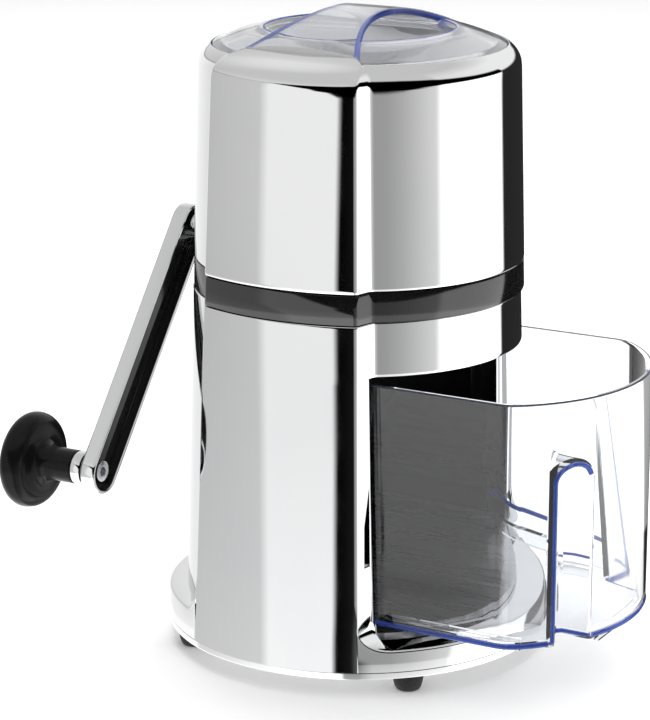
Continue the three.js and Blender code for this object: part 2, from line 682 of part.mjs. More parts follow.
function iceDrawer() {
  const outside = drawerPrism(0, DRAWER_BOTTOM, DRAWER_TOP);
  const inside = drawerPrism(DRAWER_WALL, DRAWER_BOTTOM + DRAWER_WALL, DRAWER_TOP + 5);
  const pockets = [1, -1].map((side) => common(notchSpace(side, DRAWER_WALL), outside));
  const runners = [
    box(42.5, 44.5, -94, 26, RUNNER_BOTTOM, DRAWER_BOTTOM + 1),
    box(-44.5, -42.5, -94, 26, RUNNER_BOTTOM, DRAWER_BOTTOM + 1),
    box(-20, 20, -116, -114, RUNNER_BOTTOM, DRAWER_BOTTOM + 1),
  ];
  const body = join(cut(outside, inside), ...pockets, ...runners);
  return cut(body, notchSpace(1, 0), notchSpace(-1, 0));
}

// ---- lid ----
function lidDome() {
  const steps = 4;
  const dish = (wall) => {
    const points = [];
    for (let i = 0; i <= steps; i += 1) {
      const t = i / steps;
      const radius = DISH_RADIUS - 0.9 - wall + (DISH_FLOOR_RADIUS - DISH_RADIUS) * t;
      const drop = (DISH_RIM_Z - 0.8 - DISH_FLOOR_Z) * Math.sin((t * Math.PI) / 2);
      points.push([radius, DISH_RIM_Z - 0.8 - drop - wall]);
    }
    return points;
  };
  const top = [
    [LID_RADIUS, LID_BOTTOM], [LID_RADIUS, CASING_TOP], [DISH_RADIUS + 0.8, DISH_RIM_Z],
    ...dish(0), [0, DISH_FLOOR_Z],
  ];
  const under = [[0, DISH_FLOOR_Z - LID_WALL], ...dish(LID_WALL).reverse(),
    [DISH_RADIUS, DISH_RIM_Z - LID_WALL - 0.3], [LID_RADIUS - 4.5, LID_BOTTOM + 1.2],
    [LID_RADIUS - 4, LID_BOTTOM]];
  return turned([...under, ...top], 36);
}

// The bridge handle: a waisted strip that arches over the finger dish from one cheek to the other.
function lidBridge() {
  const reach = LID_NOTCH_X;
  const steps = 14;
  const loops = [];
  for (let i = 0; i <= steps; i += 1) {
    const x = -reach + (2 * reach * i) / steps;
    const u = (x / BRIDGE_REACH) ** 2;
    const half = BRIDGE_HALF_WIDTH + BRIDGE_FLARE * u;
    const high = BRIDGE_TOP - BRIDGE_DROP * u;
    const low = high - BRIDGE_THICKNESS;
    const corners = [[-half, low], [half, low], [half, high], [-half, high]];
    loops.push(corners.map(([y, z]) => new THREE.Vector3(x, y, z)));
  }
  return loft(loops, sideView);
}

function lid() {
  const disc = turned(discProfile(LID_RADIUS, 200, 260), 36);
  return cut(common(join(lidDome(), lidBridge()), disc), tongue(1, 0), tongue(-1, 0));
}

// ---- assembly ----
addPart('base_plate', basePlate(), chrome());
addPart('lower_housing', lowerHousing(), chrome());
addPart('middle_band', middleBand(), blackGloss());
addPart('upper_housing', upperHousing(), chrome());
addPart('drawer_tray', drawerTray(), steel());
addPart('drawer_guide_left', drawerGuide(-1), blackMatt());
addPart('drawer_guide_right', drawerGuide(1), blackMatt());
addPart('hopper', hopper(), hopperPlastic());
addPart('crushing_chamber', crushingChamber(), blackMatt());
addPart('fixed_comb_left', fixedComb(-1), steel());
addPart('fixed_comb_right', fixedComb(1), steel());
addPart('front_bearing', bearing(-1), blackMatt()).position.z = SHAFT_Z;
addPart('rear_bearing', bearing(1), blackMatt()).position.z = SHAFT_Z;
const collar = ringProfile(9, HUB_RADIUS + GAP, 61.5, 68);
addPart('crank_collar', turnedAlongY(collar), chrome()).position.z = SHAFT_Z;

const footNames = ['front_left', 'front_right', 'rear_right', 'rear_left'];
footCentres().forEach(([x, y], i) => {
  addPart(`foot_${footNames[i]}`, foot(), rubber()).position.set(x, y, 0);
  addPart(`foot_screw_${footNames[i]}`, footScrew(), steel()).position.set(x, y, 0);
});
screwCentres().forEach(([x, y], i) => {
  addPart(`chamber_screw_${i + 1}`, chamberScrew(), steel()).position.set(x, y, 0);
});

addPart('crank_shaft', crankShaft(), steel(), crank);
for (let i = 0; i < BLADE_COUNT; i += 1) {
  addPart(`crusher_blade_${i + 1}`, blade(i * 0.36), steel(), crank).position.y = bladeY(i);
}
for (let i = 0; i < BLADE_COUNT - 1; i += 1) {
  addPart(`blade_spacer_${i + 1}`, spacer(), steel(), crank).position.y = bladeY(i) + BLADE_PITCH / 2;
}
addPart('shaft_end_nut', endNut(), steel(), crank);
addPart('crank_hub', crankHub(), chrome(), crank);
addPart('crank_arm', crankArm(), chrome(), crank);
addPart('crank_bolt', crankBolt(), chrome(), crank);

const knobAxis = new THREE.Group();
knobAxis.position.z = -ARM_LENGTH;
crank.add(knobAxis);
addPart('knob_screw', knobScrew(), steel(), knobAxis);
addPart('knob_washer', knobWasher(), blackMatt(), knobAxis);
addPart('knob_ferrule', knobFerrule(), chrome(), knobAxis);
addPart('knob', knob(), blackGloss(), knobAxis);

addPart('ice_drawer', iceDrawer(), clearPlastic());
addPart('lid', lid(), clearPlastic());

export default group;
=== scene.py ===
"""Hand-cranked ice crusher: smooth chromed casing, clear lid and drawer, black band, crank and knob."""

import json
import math

import bmesh
import bpy
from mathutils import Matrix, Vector


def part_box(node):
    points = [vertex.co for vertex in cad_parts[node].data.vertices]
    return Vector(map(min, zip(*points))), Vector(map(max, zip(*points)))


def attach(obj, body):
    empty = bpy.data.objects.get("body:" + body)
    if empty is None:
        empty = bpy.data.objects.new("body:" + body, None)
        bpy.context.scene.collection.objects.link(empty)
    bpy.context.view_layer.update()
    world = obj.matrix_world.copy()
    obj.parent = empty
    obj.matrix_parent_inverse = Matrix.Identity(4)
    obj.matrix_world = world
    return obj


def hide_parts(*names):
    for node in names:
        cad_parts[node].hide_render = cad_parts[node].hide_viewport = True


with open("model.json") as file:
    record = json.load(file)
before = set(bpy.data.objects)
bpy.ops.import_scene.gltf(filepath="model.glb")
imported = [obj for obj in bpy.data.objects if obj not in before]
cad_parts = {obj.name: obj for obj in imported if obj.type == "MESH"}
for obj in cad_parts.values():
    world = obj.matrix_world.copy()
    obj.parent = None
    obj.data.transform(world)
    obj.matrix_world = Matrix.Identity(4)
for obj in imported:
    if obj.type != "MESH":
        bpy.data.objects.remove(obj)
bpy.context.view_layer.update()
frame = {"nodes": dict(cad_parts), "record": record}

# Sizes are in millimetres. Z is 0 at the underside of the base plate, the drawer faces -Y and the crank +Y.
MM = 0.001
FLOOR_Z = -7.5  # bottom of the feet
SEAM = 2.74  # lowest edge of the casing, just above the base plate
FLANGE_RADIUS = 76.9
BAY_TOP, BAY_HALF_WIDTH = 117.3, 55.9
LOWER_HIGH, BAND_LOW = 138.5, 138.8
BAND_HIGH, UPPER_LOW = 150.2, 150.5
LOWER_SETBACK = 1.4  # how far the lower casing's front panel stands behind the upper one's
WALL = 2.3
SHAFT_Z = 153.0
HUB_HOLE = 6.9  # radius of the hole for the crank's hub tube
CRANK_ANGLE = math.radians(38.6)
ARM_LENGTH = 110.5
VIEW_EAST, VIEW_NORTH = 0.8722, 0.4891  # direction the photograph looks in, from above
SHARP = 38  # degrees between two faces from which their edge is drawn as a crease


# ---------------------------------------------------------------- materials
def principled(name, **sockets):
    material = bpy.data.materials.new(name)
    material.use_nodes = True
    shader = material.node_tree.nodes["Principled BSDF"]
    for key, value in sockets.items():
        shader.inputs[key.replace("_", " ")].default_value = value
    return material, material.node_tree, shader


def noise(tree, scale, detail=4.0, stretch=(1, 1, 1)):
    coords = tree.nodes.new("ShaderNodeTexCoord")
    mapping = tree.nodes.new("ShaderNodeMapping")
    mapping.inputs["Scale"].default_value = stretch
    texture = tree.nodes.new("ShaderNodeTexNoise")
    texture.inputs["Scale"].default_value = scale
    texture.inputs["Detail"].default_value = detail
    tree.links.new(coords.outputs["Object"], mapping.inputs["Vector"])
    tree.links.new(mapping.outputs["Vector"], texture.inputs["Vector"])
    return texture.outputs["Fac"]


def vary(tree, shader, socket, fac, low, high):
    spread = tree.nodes.new("ShaderNodeMapRange")
    spread.inputs["From Min"].default_value = 0.3
    spread.inputs["From Max"].default_value = 0.7
    spread.inputs["To Min"].default_value = low
    spread.inputs["To Max"].default_value = high
    tree.links.new(fac, spread.inputs["Value"])
    tree.links.new(spread.outputs["Result"], shader.inputs[socket])


def tint(tree, shader, fac, dark, light):
    ramp = tree.nodes.new("ShaderNodeValToRGB")
    ramp.color_ramp.elements[0].position = 0.3
    ramp.color_ramp.elements[0].color = (*dark, 1)
    ramp.color_ramp.elements[1].position = 0.7
    ramp.color_ramp.elements[1].color = (*light, 1)
    tree.links.new(fac, ramp.inputs["Fac"])
    tree.links.new(ramp.outputs["Color"], shader.inputs["Base Color"])


def relief(tree, shader, fac, strength, distance):
    bump = tree.nodes.new("ShaderNodeBump")
    bump.inputs["Strength"].default_value = strength
    bump.inputs["Distance"].default_value = distance
    tree.links.new(fac, bump.inputs["Height"])
    tree.links.new(bump.outputs["Normal"], shader.inputs["Normal"])


def chrome_material():
    material, tree, shader = principled("polished_chrome", Metallic=1.0)
    tint(tree, shader, noise(tree, 9), (0.87, 0.875, 0.885), (0.93, 0.93, 0.935))
    vary(tree, shader, "Roughness", noise(tree, 60), 0.03, 0.055)
    return material


def steel_material():
    material, tree, shader = principled("brushed_stainless", Metallic=1.0)
    grain = noise(tree, 420, stretch=(1, 0.06, 1))
    tint(tree, shader, grain, (0.5, 0.51, 0.53), (0.7, 0.71, 0.73))
    vary(tree, shader, "Roughness", grain, 0.22, 0.38)
    relief(tree, shader, grain, 0.05, 0.0002)
    return material


def plastic_material(name, dark, light, rough, grain_scale, strength):
    material, tree, shader = principled(name)
    grain = noise(tree, grain_scale)
    tint(tree, shader, noise(tree, 14), dark, light)
    vary(tree, shader, "Roughness", grain, rough[0], rough[1])
    relief(tree, shader, grain, strength, 0.0001)
    return material


def clear_material(name, colour, rough=(0.01, 0.03), clarity=1.0):
    material, tree, shader = principled(name, Transmission_Weight=clarity, IOR=1.45)
    shader.inputs["Base Color"].default_value = (*colour, 1)
    vary(tree, shader, "Roughness", noise(tree, 50), rough[0], rough[1])
    return material


def edge_material(name, dark, light):
    material, tree, shader = principled(name, Transmission_Weight=0.5, IOR=1.45)
    tint(tree, shader, noise(tree, 40), dark, light)
    vary(tree, shader, "Roughness", noise(tree, 60), 0.12, 0.2)
    return material


CHROME = chrome_material()
STEEL = steel_material()
BLACK_GLOSS = plastic_material("black_gloss_plastic", (0.008,) * 3, (0.014,) * 3, (0.06, 0.12), 300, 0.03)
BLACK_MATT = plastic_material("black_satin_plastic", (0.008,) * 3, (0.014,) * 3, (0.4, 0.55), 250, 0.05)
RUBBER = plastic_material("black_rubber", (0.012,) * 3, (0.024,) * 3, (0.65, 0.85), 900, 0.35)
BAND_BLACK = plastic_material("band_black_plastic", (0.006,) * 3, (0.01,) * 3, (0.05, 0.1), 300, 0.02)
BAND_BLACK.node_tree.nodes["Principled BSDF"].inputs["IOR"].default_value = 1.8
KNOB_BLACK = plastic_material("knob_black_plastic", (0.004,) * 3, (0.008,) * 3, (0.16, 0.24), 300, 0.03)
KNOB_BLACK.node_tree.nodes["Principled BSDF"].inputs["Specular IOR Level"].default_value = 0.16
HOPPER = plastic_material("pale_plastic", (0.78,) * 3, (0.84,) * 3, (0.3, 0.45), 500, 0.1)
CLEAR = clear_material("clear_plastic", (0.93, 0.945, 0.97))
HAZY = clear_material("hazy_clear_plastic", (0.8, 0.812, 0.835), (0.02, 0.05), 0.91)
BLUE = edge_material("blue_edge_plastic", (0.02, 0.05, 0.34), (0.05, 0.12, 0.58))
SMOKE = edge_material("smoky_rim_plastic", (0.03, 0.035, 0.06), (0.06, 0.07, 0.11))
SLOT_MATERIALS = {
    "chrome": CHROME, "steel": STEEL, "black_gloss": BLACK_GLOSS, "black_matt": BLACK_MATT,
    "rubber": RUBBER, "clear_plastic": CLEAR, "hopper_plastic": HOPPER,
}


# ---------------------------------------------------------------- mesh tools
def smooth(mesh, sharp=SHARP):
    mesh.shade_smooth()
    mesh.set_sharp_from_angle(angle=math.radians(sharp))


class Builder:
    """Collects vertices and faces in millimetres and turns them into one object."""

    def __init__(self):
        self.verts, self.faces, self.slots = [], [], []

    def rows(self, rows, wrap=False, slot=0):
        """Skin a list of rows of equal length."""
        start, width = len(self.verts), len(rows[0])
        for row in rows:
            self.verts.extend(row)
        for j in range(len(rows) - 1):
            for i in range(width if wrap else width - 1):
                k = (i + 1) % width
                a, b = start + j * width + i, start + j * width + k
                self.faces.append((a, b, b + width, a + width))
                self.slots.append(slot)

    def face(self, points, slot=0):
        start = len(self.verts)
        self.verts.extend(points)
        self.faces.append(tuple(range(start, start + len(points))))
        self.slots.append(slot)

    def build(self, name, *materials, sharp=SHARP):
        mesh = bpy.data.meshes.new(name)
        mesh.from_pydata([tuple(c * MM for c in v) for v in self.verts], [], self.faces)
        for material in materials:
            mesh.materials.append(material)
        mesh.polygons.foreach_set("material_index", self.slots)
        work = bmesh.new()
        work.from_mesh(mesh)
        bmesh.ops.remove_doubles(work, verts=work.verts, dist=2e-6)
        bmesh.ops.dissolve_degenerate(work, edges=work.edges, dist=1e-6)
        bmesh.ops.recalc_face_normals(work, faces=work.faces)
        work.to_mesh(mesh)
        work.free()
        smooth(mesh, sharp)
        piece = bpy.data.objects.new(name, mesh)
        bpy.context.scene.collection.objects.link(piece)
        return piece


def refine(points, steps):
    """A Catmull-Rom curve through tuples of any length."""
    out = []
    last = len(points) - 1
    for i in range(last):
        p0, p1, p2, p3 = points[max(i - 1, 0)], points[i], points[i + 1], points[min(i + 2, last)]
        for s in range(steps):
            t = s / steps
            out.append(tuple(
                0.5 * (2 * b + (c - a) * t + (2 * a - 5 * b + 4 * c - d) * t ** 2
                       + (3 * b - a - 3 * c + d) * t ** 3)
                for a, b, c, d in zip(p0, p1, p2, p3)))
    out.append(tuple(points[-1]))
    return out


def bezier(p0, p1, p2, count):
    """Inner points of a quadratic curve, ends left out."""
    out = []
    for i in range(1, count + 1):
        t = i / (count + 1)
        out.append(tuple((1 - t) ** 2 * a + 2 * t * (1 - t) * b + t * t * c for a, b, c in zip(p0, p1, p2)))
    return out


def between(low, high, count):
    return [low + (high - low) * i / (count - 1) for i in range(count)]


def turn_z(profile, centre=(0, 0), segments=96):
    """Rows of a solid turned about a vertical axis, from (radius, z) points; 0.01 stands for its middle."""
    angles = [2 * math.pi * i / segments for i in range(segments)]
    return [[(centre[0] + r * math.cos(a), centre[1] + r * math.sin(a), z) for a in angles]
            for r, z in profile]


def turn_y(profile, centre=(0, 0), segments=64):
    """The same about the Y axis, from (radius, y) points; centre is in X and Z."""
    angles = [2 * math.pi * i / segments for i in range(segments)]
    return [[(centre[0] + r * math.cos(a), y, centre[1] + r * math.sin(a)) for a in angles]
            for r, y in profile]


def lathe(name, rows, material, sharp=SHARP):
    """A turned piece; its ends are not capped."""
    shape = Builder()
    shape.rows(rows, wrap=True)
    return shape.build(name, material, sharp=sharp)


def solid(name, rows, *materials, slot=0):
    """A closed piece: its rows, with a face over the first and the last."""
    shape = Builder()
    shape.rows(rows, wrap=True, slot=slot)
    shape.face(rows[0], slot)
    shape.face(rows[-1], slot)
    return shape.build(name, *materials)


def install(piece, body, slot, *nodes):
    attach(piece, body)
    if nodes:
        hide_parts(*nodes)
    return piece


def combine(base, tool, operation):
    """Boolean of two pieces; the tool is used up."""
    cutter = base.modifiers.new("combine", "BOOLEAN")
    cutter.operation = operation
    cutter.solver = "EXACT"
    cutter.object = tool
    graph = bpy.context.evaluated_depsgraph_get()
    mesh = bpy.data.meshes.new_from_object(base.evaluated_get(graph))
    base.modifiers.clear()
    base.data = mesh
    bpy.data.objects.remove(tool)
    return base


def bore(shell, lined):
    """Cut the hub tube's hole through a shell's back. A lined hole keeps the wall that the drill leaves."""
    ahead, behind = 56, 76  # the drill's ends, on either side of the back wall
    profile = [(0.01, ahead), (HUB_HOLE, ahead), (HUB_HOLE, behind), (0.01, behind)]
    drill = lathe("drill", turn_y(profile, (0, SHAFT_Z)), CHROME)
    combine(shell, drill, "DIFFERENCE")
    if not lined:
        mesh = bmesh.new()
        mesh.from_mesh(shell.data)
        reach = (HUB_HOLE + 0.05) * MM
        cut = [face for face in mesh.faces if face.calc_center_median().y > 0
               and all(math.hypot(v.co.x, v.co.z - SHAFT_Z * MM) < reach for v in face.verts)]
        bmesh.ops.delete(mesh, geom=cut, context="FACES")
        mesh.to_mesh(shell.data)
        mesh.free()
    smooth(shell.data)
    return shell


def sweep(points, radius, segments=10):
    """Rows of a round tube along a path; radius is one size, or a list with one for each point."""
    rows = []
    path = [Vector(p) for p in points]
    normal = None
    for i, p in enumerate(path):
        ahead = (path[min(i + 1, len(path) - 1)] - path[max(i - 1, 0)]).normalized()
        if normal is None:
            normal = ahead.orthogonal().normalized()
        normal = (normal - ahead * normal.dot(ahead)).normalized()
        side = ahead.cross(normal)
        size = radius[i] if isinstance(radius, list) else radius
        rows.append([tuple(p + size * (math.cos(a) * normal + math.sin(a) * side))
                     for a in (2 * math.pi * k / segments for k in range(segments))])
    return rows


def bead(shape, points, radius, slot=0):
    rows = sweep(points, radius)
    shape.rows(rows, wrap=True, slot=slot)
    shape.face(rows[0][::-1], slot)
    shape.face(rows[-1], slot)


# ---------------------------------------------------------------- casing outline
CHEEK_COLUMNS, CORNER_COLUMNS, CORE_COLUMNS = 18, 7, 30
CORE_RADIUS, CORE_TAPER = 65.4, 0.030  # of the round core at z 150, and what it gains per mm further down
CORNER_X, CORNER_X_TAPER = 67.4, 0.0335  # of a cheek's corner at z 15, and what it loses per mm further up
CORNER_Y, CORNER_Y_TAPER = 36.6, 0.0247
CHEEK_CURVE_GAIN, CHEEK_CURVE_LIMIT = 0.0585, 85.2  # a cheek's radius is the flange's at z 8, then grows
STEP_RISE = 2.2  # how much further out in Y a step meets the core than it leaves the cheek


def section(z, depth=0.0, setback=0.0):
    """Driving sizes of the casing's plan at one height, depth inside its surface."""
    corner_y = CORNER_Y - CORNER_Y_TAPER * (z - 15) - depth
    return {
        "core": CORE_RADIUS + CORE_TAPER * (150 - z) - depth - setback,
        "x": CORNER_X - CORNER_X_TAPER * (z - 15) - depth,
        "y": corner_y,
        "inner_y": corner_y + STEP_RISE,
        "curve": min(CHEEK_CURVE_LIMIT, FLANGE_RADIUS + (z - 8) * CHEEK_CURVE_GAIN) - depth,
        "edge": 1.1 if z > 24 else 0.15,  # rounding of a cheek's corner, nearly sharp beside the sill
        "z": z,
        "core_z": z,
    }


def quarter(s):
    """From the middle of a cheek to the middle of the core, in the first quadrant."""
    core, x, y, curve = s["core"], s["x"], s["y"], s["curve"]
    centre = x - math.sqrt(curve * curve - y * y)
    inner = (math.sqrt(core * core - s["inner_y"] ** 2), s["inner_y"])
    length = math.hypot(inner[0] - x, inner[1] - y)
    along = ((inner[0] - x) / length, (inner[1] - y) / length)
    outer_round = min(s["edge"], 0.25 * length)
    inner_round = min(1.5, 0.25 * length)
    nudge = min(0.25, 0.05 * length)

    def cheek(distance):
        angle = math.asin(y / curve) - distance / curve
        return (centre + curve * math.cos(angle), curve * math.sin(angle), s["z"])

    def step(distance):
        rise = s["z"] + (s["core_z"] - s["z"]) * distance / length
        return (x + along[0] * distance, y + along[1] * distance, rise)

    start = math.asin(y / curve) * curve
    points = [cheek(start - d) for d in between(0, start - outer_round - nudge, CHEEK_COLUMNS)]
    points.append(cheek(outer_round))
    points += bezier(points[-1], (x, y, s["z"]), step(outer_round), CORNER_COLUMNS)
    middle = length - 3.8 if length > 6 else length / 2
    points += [step(outer_round), step(outer_round + nudge), step(middle),
               step(length - inner_round - nudge), step(length - inner_round)]
    first = math.atan2(inner[1], inner[0]) + inner_round / core

    def arc(angle):
        return (core * math.cos(angle), core * math.sin(angle), s["core_z"])

    points += bezier(points[-1], (*inner, s["core_z"]), arc(first), 6)
    points.append(arc(first))
    points += [arc(a) for a in between(first + nudge / core, math.pi / 2, CORE_COLUMNS)]
    return points


STEP_MIDDLE = CHEEK_COLUMNS + 1 + CORNER_COLUMNS + 2  # the column partway along the step beside a cheek


def full_loop(front, rear):
    """Whole plan outline, anticlockwise from the middle of the +X cheek."""
    f, r = quarter(front), quarter(rear)
    loop = list(r)
    loop += [(-x, y, z) for x, y, z in reversed(r[:-1])]
    loop += [(-x, -y, z) for x, y, z in f[1:]]
    loop += [(x, -y, z) for x, y, z in reversed(f[1:-1])]
    return loop


def ring(z, depth=0.0, setback=0.0):
    """The outline at one height; only its front is set back."""
    return full_loop(section(z, depth, setback), section(z, depth))


def bay_columns(count):
    """The bay opening's left and right columns, and a list of the columns outside it."""
    front_left, front_right = count // 2 + STEP_MIDDLE, count - STEP_MIDDLE
    return front_left, front_right, list(range(front_right, count)) + list(range(0, front_left + 1))


# ---------------------------------------------------------------- lower housing
def lower_housing():
    """The lower casing, open at the front below BAY_TOP, with a lip above the opening and rolled sides."""
    shape = Builder()
    beside = [(SEAM, 0.06), (SEAM + 0.06, 0), (SEAM + 0.3, 0), (12, 0), (18, 0), (24, 0), (30, 0), (60, 0),
              (90, 0), (BAY_TOP - 1.5, 0), (BAY_TOP - 0.5, 0)]
    above = [(BAY_TOP + 0.5, 0), (BAY_TOP + 1.5, 0), (128, 0), (LOWER_HIGH - 0.9, 0), (LOWER_HIGH - 0.4, 0),
             (LOWER_HIGH - 0.15, 0.06), (LOWER_HIGH - 0.04, 0.18), (LOWER_HIGH, 0.4), (LOWER_HIGH, WALL),
             (LOWER_HIGH - 6, WALL)]
    rows = [ring(z, d, LOWER_SETBACK) for z, d in beside + above]
    front_left, front_right, others = bay_columns(len(rows[0]))
    shape.rows(rows[len(beside):], wrap=True)
    shape.rows([[row[i] for i in others] for row in rows[:len(beside) + 1]])
    lip = [(BAY_TOP + 1.5, 0), (BAY_TOP + 0.5, 0), (BAY_TOP + 0.15, 0.12), (BAY_TOP, 0.5), (BAY_TOP, WALL),
           (BAY_TOP + 9, WALL)]
    shape.rows([ring(z, d, LOWER_SETBACK)[front_left:front_right + 1] for z, d in lip])
    for side in (1, -1):
        column = front_right if side > 0 else front_left
        roll = []
        for z in (SEAM, 12, 20, 60, 100, BAY_TOP, BAY_TOP + 1):
            x, y, _ = ring(z, 0, LOWER_SETBACK)[column]
            edge_y = y - 0.31 * (abs(x) - BAY_HALF_WIDTH)
            inside_y = 12 - section(z)["y"]
            start = (x, y, z)
            corner = (side * BAY_HALF_WIDTH, edge_y, z)
            end = (side * BAY_HALF_WIDTH, edge_y + 4.2, z)
            roll.append([start, *bezier(start, corner, end, 9), end,
                         (side * BAY_HALF_WIDTH, inside_y, z), (side * 65, inside_y, z)])
        shape.rows(roll)
    return shape.build("lower_housing_shell", CHROME)


def lower_lining():
    """Inner face of the lower casing's wall, open at the front of the bay."""
    shape = Builder()
    above = [ring(z, WALL, LOWER_SETBACK) for z in (BAY_TOP, BAY_TOP + 9, LOWER_HIGH - 6)]
    shape.rows(above, wrap=True)
    _, _, others = bay_columns(len(above[0]))
    beside = [ring(z, WALL, LOWER_SETBACK) for z in (SEAM, 15, 30, 60, 90, BAY_TOP)]
    shape.rows([[row[i] for i in others] for row in beside])
    return shape.build("lower_housing_lining", BLACK_MATT)


def base_ring(side, ledge, fillet, reach_in, bay):
    """The flange in front (side -1) or behind (side 1), with a fillet up each cheek's step.

    Its top is at ledge and reaches in to about the radius reach_in. With bay, its ends roll down into it.
    """
    shape = Builder()
    s = section(ledge + fillet)
    columns = []
    for theta in between(0, math.pi / 2, 10):
        off = fillet * (1 - math.cos(theta))
        height = ledge + fillet * (1 - math.sin(theta))
        base_y = s["y"] + off
        slope = STEP_RISE / (s["x"] - BAY_HALF_WIDTH)
        x = s["x"]
        for _ in range(6):  # closes in on where the step meets the flange's edge
            x = math.sqrt(FLANGE_RADIUS ** 2 - (base_y + slope * (s["x"] - x)) ** 2)
        columns.append((math.atan2(base_y + slope * (s["x"] - x), x), height, slope, base_y, True))
    last, _, _, last_y, _ = columns[-1]
    columns += [(a, ledge, 0, 0, False) for a in between(last + 0.004, math.pi / 2, 40)]
    rows = []
    wall = [(SEAM, -0.06, False), (SEAM + 0.06, 0, False), (SEAM + 0.3, 0, False), (6, 0, False),
            (-1.0, 0, True), (-0.55, -0.12, True), (-0.2, -0.4, True), (0, -0.9, True)]
    for z, inset, from_top in wall:
        rows.append([((FLANGE_RADIUS + inset) * math.cos(a), (FLANGE_RADIUS + inset) * math.sin(a),
                      h + z if from_top else z) for a, h, _, _, _ in columns])
    inwards = [(60, 0), (58, 0), (56, 0), (54, 0), (52, 0)]
    if bay:
        inwards = [(59.6, 0), (57.9, -0.4), (56.7, -1.4), (56.1, -2.8), (BAY_HALF_WIDTH, -5)]
    for k, (x_in, drop) in enumerate(inwards):
        row = []
        for a, h, slope, base_y, is_fillet in columns:
            if is_fillet:
                row.append((x_in, base_y + slope * (s["x"] - x_in), h + drop))
            else:
                blend = min(1.0, (a - last) / 0.2)
                corner_radius = math.hypot(x_in, last_y + STEP_RISE)
                target = corner_radius + (reach_in - 0.4 * k - corner_radius) * blend
                row.append((target * math.cos(a), target * math.sin(a), h + drop * (1 - blend)))
        rows.append(row)
    whole = [row + [(-x, y, z) for x, y, z in reversed(row[:-1])] for row in rows]
    shape.rows([[(x, side * y, z) for x, y, z in row] for row in whole])
    return shape.build("front_sill" if side < 0 else "rear_flange", CHROME)


def base_plate():
    profile = [(0, 0), (39.6, 0), (40, 0.1), (40.6, 0.5), (41, 0.6), (75.2, 0.6), (75.5, 0.5),
               (75.7, 0.1), (76, 0), (76.6, 0), (76.82, 0.06), (FLANGE_RADIUS, 0.2), (FLANGE_RADIUS, 0.4),
               (FLANGE_RADIUS, 2.4), (FLANGE_RADIUS, 2.55), (76.84, 2.66), (76.7, 2.7), (76.4, 2.7),
               (0, 2.7)]
    return lathe("base_plate_disc", turn_z([(max(r, 0.01), z) for r, z in profile], segments=160), CHROME)


# ---------------------------------------------------------------- band and upper housing
def middle_band():
    shape = Builder()
    profile = [(BAND_LOW, 2.2), (BAND_LOW, 0.6), (BAND_LOW + 0.12, 0.32), (BAND_LOW + 0.5, 0.2),
               (BAND_HIGH - 0.5, 0.2), (BAND_HIGH - 0.12, 0.32), (BAND_HIGH, 0.6), (BAND_HIGH, 2.2)]
    rows = [ring(z, d) for z, d in profile]
    shape.rows(rows + [rows[0]], wrap=True)
    return shape.build("black_band", BAND_BLACK)


# The shoulder, from the walls up to the cheek's tip: x, y and z of the cheek's corner, radius of the cheek,
# radius and z of the core, and y where the step meets the core.
SHOULDER = [
    (60.33, 31.39, 226.0, 85, 63.1, 226.0, 33.6),
    (60.05, 31.3, 228.2, 87, 62.9, 228.0, 33.5),
    (59.1, 31.1, 230.1, 92, 62.35, 229.8, 33.2),
    (57.6, 30.7, 231.6, 105, 61.5, 231.4, 32.7),
    (55.7, 30.1, 232.7, 130, 60.4, 232.8, 31.9),
    (53.7, 29.4, 233.6, 190, 59.3, 233.8, 30.8),
    (52.0, 28.8, 234.3, 320, 58.5, 234.4, 29.6),
    (50.4, 28.1, 235.0, 700, 57.95, 234.65, 28.4),
    (48.7, 26.2, 235.75, 1500, 57.75, 234.5, 28.3),
    (46.95, 23.95, 236.55, 4000, 57.7, 234.2, 28.3),
]


def upper_housing():
    shape = Builder()
    levels = [(UPPER_LOW + 8, WALL), (UPPER_LOW, WALL), (UPPER_LOW, 0.8), (UPPER_LOW + 0.08, 0.4),
              (UPPER_LOW + 0.35, 0.12), (UPPER_LOW + 0.9, 0), (UPPER_LOW + 1.6, 0), (175, 0), (200, 0),
              (218, 0), (224, 0)]
    rows = [ring(z, d) for z, d in levels]
    inside = [(46.8, 23.85, z, 4000, 57.7, core_z, 28.3)
              for z, core_z in ((236.45, 234.0), (233.0, 232.4))]
    for x, y, z, curve, core, core_z, inner_y in refine(SHOULDER, 4) + inside:
        s = {"core": core, "x": x, "y": y, "inner_y": inner_y, "curve": curve, "edge": 1.1, "z": z,
             "core_z": core_z}
        rows.append(full_loop(s, s))
    shape.rows(rows, wrap=True)
    return shape.build("upper_housing_shell", CHROME, sharp=50)


# ---------------------------------------------------------------- lid
def lid_profile():
    """Radius and height of the dome's upper side, from the rim into the dish."""
    dome = [(57.4, 232.2), (57.4, 234.2), (57.2, 234.65), (56.7, 234.95)]
    dome += [(r, 234.9 + 5.9 * math.sin((57 - r) / (57 - 38.3) * math.pi / 2 * 0.75) / 0.924)
             for r in between(55.5, 39.2, 12)]
    dome += [(38.4, 240.8), (37.7, 240.75), (37.2, 240.35)]
    dome += [(36.8 - 16.8 * t, 240.0 - 10.0 * math.sin(t * math.pi / 2)) for t in between(0.03, 1, 14)]
    return dome


def bridge_size(x):
    """Half width and top height of the lid's bridge; u is 0 in its middle and would be 1 at x 58."""
    u = abs(x) / 58
    return 11.56 + 21.99 * u ** 2 - 2.32 * u ** 4, 248.2 - 17.95 * u ** 2 - 0.3 * u ** 4


